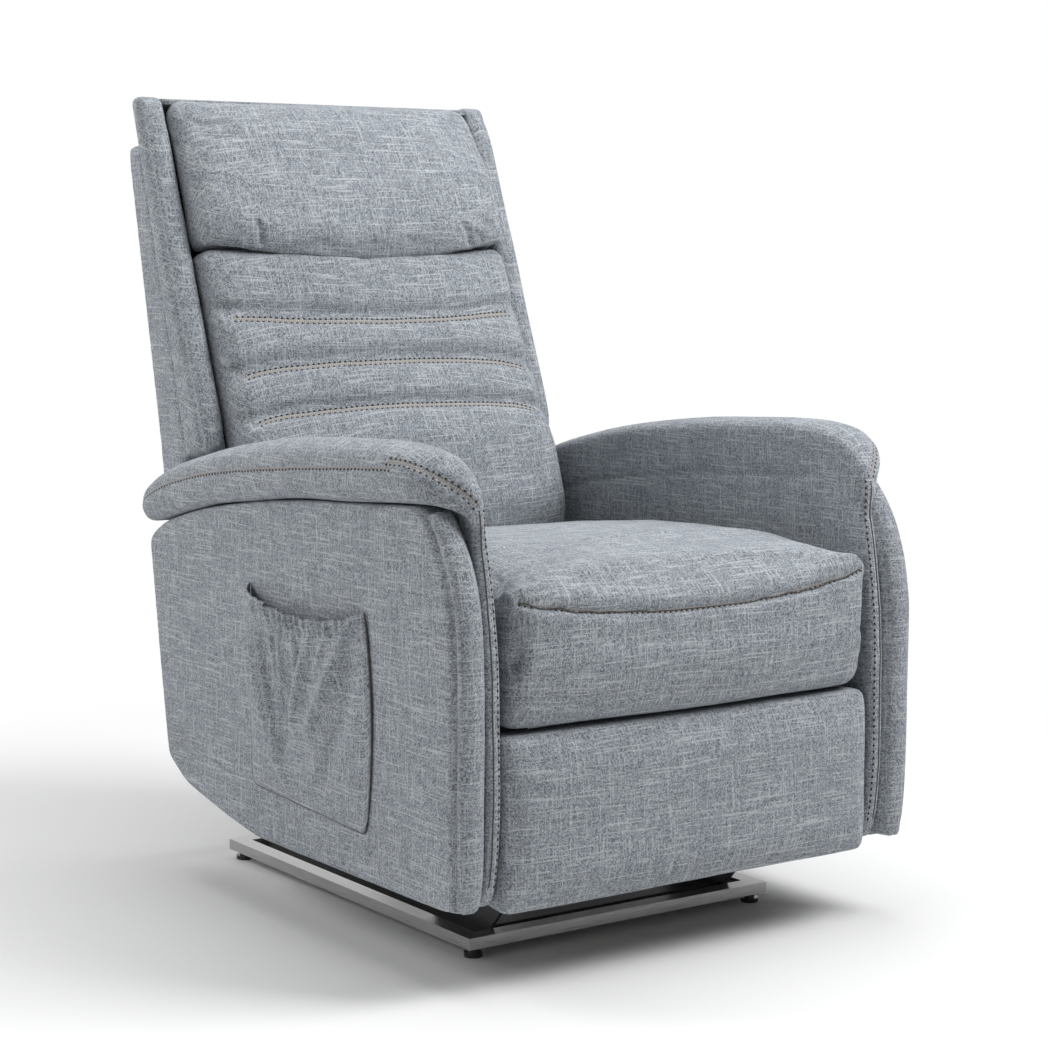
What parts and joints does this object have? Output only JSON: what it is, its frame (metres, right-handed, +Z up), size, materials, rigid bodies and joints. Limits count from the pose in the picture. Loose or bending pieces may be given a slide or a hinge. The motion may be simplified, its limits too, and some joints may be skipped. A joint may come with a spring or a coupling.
{
  "type": "lift recliner chair",
  "caption": "Padded armchair whose base lifts and tips it forward, with a reclining back, a folding leg rest and a side pocket.",
  "frame": {"origin": "bottom centre of the whole chair, on the floor, with the chair closed and upright", "axes": "+Z up, -Y towards the front where the feet go, +X to the right as seen from the front; left and right in node names are as seen from the front"},
  "size_m": [0.7566, 0.9935, 1.1041],
  "materials": {
    "upholstery": "slate blue-grey linen weave with slubs",
    "webbing_strap": "woven strap",
    "base_steel": "brushed",
    "mechanism_steel": "satin black",
    "pin_steel": "zinc plated",
    "rod_steel": "polished",
    "tube_aluminium": "satin anodised",
    "motor_housing": "fine texture",
    "inlet_plastic": "gloss",
    "foot_rubber": "smooth black",
    "board_wood": "raw plywood"
  },
  "bodies": {
    "base": {"base_rail_left": "base_steel", "base_rail_right": "base_steel", "base_rail_front": "base_steel", "base_rail_rear": "base_steel", "feet": "foot_rubber", "pivot_bracket_left": "mechanism_steel", "pivot_bracket_right": "mechanism_steel", "base_pivot_pins": "pin_steel", "cross_bar_front": "mechanism_steel", "cross_bar_rear": "mechanism_steel", "lift_motor_mount": "mechanism_steel"},
    "lift_arms": {"lift_arm_left": "mechanism_steel", "lift_arm_right": "mechanism_steel", "lift_cross_tube": "mechanism_steel"},
    "control_links": {"control_links": "mechanism_steel"},
    "lift_actuator": {"lift_motor": "motor_housing", "lift_tube": "tube_aluminium"},
    "lift_rod": {"lift_rod": "rod_steel"},
    "chair": {"chair_side_plate_left": "mechanism_steel", "chair_side_plate_right": "mechanism_steel", "chair_pivot_pins": "pin_steel", "seat_front_rail": "mechanism_steel", "seat_rear_rail": "mechanism_steel", "seat_webbing": "webbing_strap", "recline_motor_mount": "mechanism_steel", "control_box": "motor_housing", "power_inlet": "inlet_plastic", "seat_cushion": "upholstery", "arm_board_left": "upholstery", "arm_board_right": "upholstery", "arm_panel_left": "upholstery", "arm_panel_right": "upholstery", "arm_pad_left": "upholstery", "arm_pad_right": "upholstery", "side_pocket": "upholstery"},
    "recline_actuator": {"recline_motor": "motor_housing", "recline_tube": "tube_aluminium"},
    "recline_rod": {"recline_rod": "rod_steel"},
    "leg_links": {"leg_link_left": "mechanism_steel", "leg_link_right": "mechanism_steel"},
    "leg_guides": {"leg_guides": "mechanism_steel"},
    "leg_couplers": {"leg_couplers": "mechanism_steel", "leg_knee_pins": "pin_steel"},
    "leg_rest": {"leg_rest_board": "board_wood", "leg_rest_brackets": "mechanism_steel", "leg_end_pins": "pin_steel", "leg_rest_pad": "upholstery"},
    "backrest": {"back_post_left": "mechanism_steel", "back_post_right": "mechanism_steel", "back_top_rail": "mechanism_steel", "back_mid_rail": "mechanism_steel", "back_webbing": "webbing_strap", "recline_brackets": "mechanism_steel", "recline_lever_tube": "mechanism_steel", "wing_left": "upholstery", "wing_right": "upholstery", "rear_cover": "upholstery", "back_cushion": "upholstery", "headrest_pillow": "upholstery"}
  },
  "joints": [
    {"name": "lift", "type": "hinge", "parent": "base", "child": "lift_arms", "pos_m": [0, -0.23, 0.066], "axis": [1, 0, 0], "range_deg": [0, 45]},
    {"name": "chair_tilt", "type": "hinge", "parent": "lift_arms", "child": "chair", "pos_m": [0, 0.215, 0.124], "axis": [1, 0, 0], "range_deg": [-20.3, 0]},
    {"name": "control_link_swing", "type": "hinge", "parent": "base", "child": "control_links", "pos_m": [0, -0.32, 0.072], "axis": [1, 0, 0], "range_deg": [0, 55.85]},
    {"name": "lift_motor_swing", "type": "hinge", "parent": "base", "child": "lift_actuator", "pos_m": [0, 0.255, 0.06], "axis": [1, 0, 0], "range_deg": [-4.01, 0]},
    {"name": "lift_stroke", "type": "slide", "parent": "lift_actuator", "child": "lift_rod", "axis": [0, -0.9784, 0.2066], "range_m": [0, 0.0874]},
    {"name": "recline", "type": "hinge", "parent": "chair", "child": "backrest", "pos_m": [0, 0.19, 0.335], "axis": [-1, 0, 0], "range_deg": [0, 32]},
    {"name": "recline_motor_swing", "type": "hinge", "parent": "chair", "child": "recline_actuator", "pos_m": [0, -0.29, 0.245], "axis": [1, 0, 0], "range_deg": [0, 1.75]},
    {"name": "recline_stroke", "type": "slide", "parent": "recline_actuator", "child": "recline_rod", "axis": [0, 1, 0], "range_m": [-0.0482, 0]},
    {"name": "leg_raise", "type": "hinge", "parent": "chair", "child": "leg_links", "pos_m": [0, -0.23, 0.3], "axis": [-1, 0, 0], "range_deg": [0, 95]},
    {"name": "leg_guide_swing", "type": "hinge", "parent": "chair", "child": "leg_guides", "pos_m": [0, -0.266, 0.317], "axis": [-1, 0, 0], "range_deg": [0, 95]},
    {"name": "leg_coupler_turn", "type": "hinge", "parent": "leg_links", "child": "leg_couplers", "pos_m": [0, -0.162, 0.112], "axis": [-1, 0, 0], "range_deg": [-95, 0]},
    {"name": "leg_rest_turn", "type": "hinge", "parent": "leg_couplers", "child": "leg_rest", "pos_m": [0, -0.4, 0.225], "axis": [-1, 0, 0], "range_deg": [0, 85.05]}
  ],
  "couplings": [
    {"joint": "chair_tilt", "follows": "lift", "ratio": -0.45},
    {"joint": "control_link_swing", "follows": "lift", "ratio": 1.24},
    {"joint": "lift_motor_swing", "follows": "lift", "ratio": -0.08867},
    {"joint": "lift_stroke", "follows": "lift", "m_per_rad": 0.11095},
    {"joint": "recline_motor_swing", "follows": "recline", "ratio": 0.05404},
    {"joint": "recline_stroke", "follows": "recline", "m_per_rad": -0.08573},
    {"joint": "leg_guide_swing", "follows": "leg_raise", "ratio": 1},
    {"joint": "leg_coupler_turn", "follows": "leg_raise", "ratio": -1},
    {"joint": "leg_rest_turn", "follows": "leg_raise", "ratio": 0.89474}
  ]
}
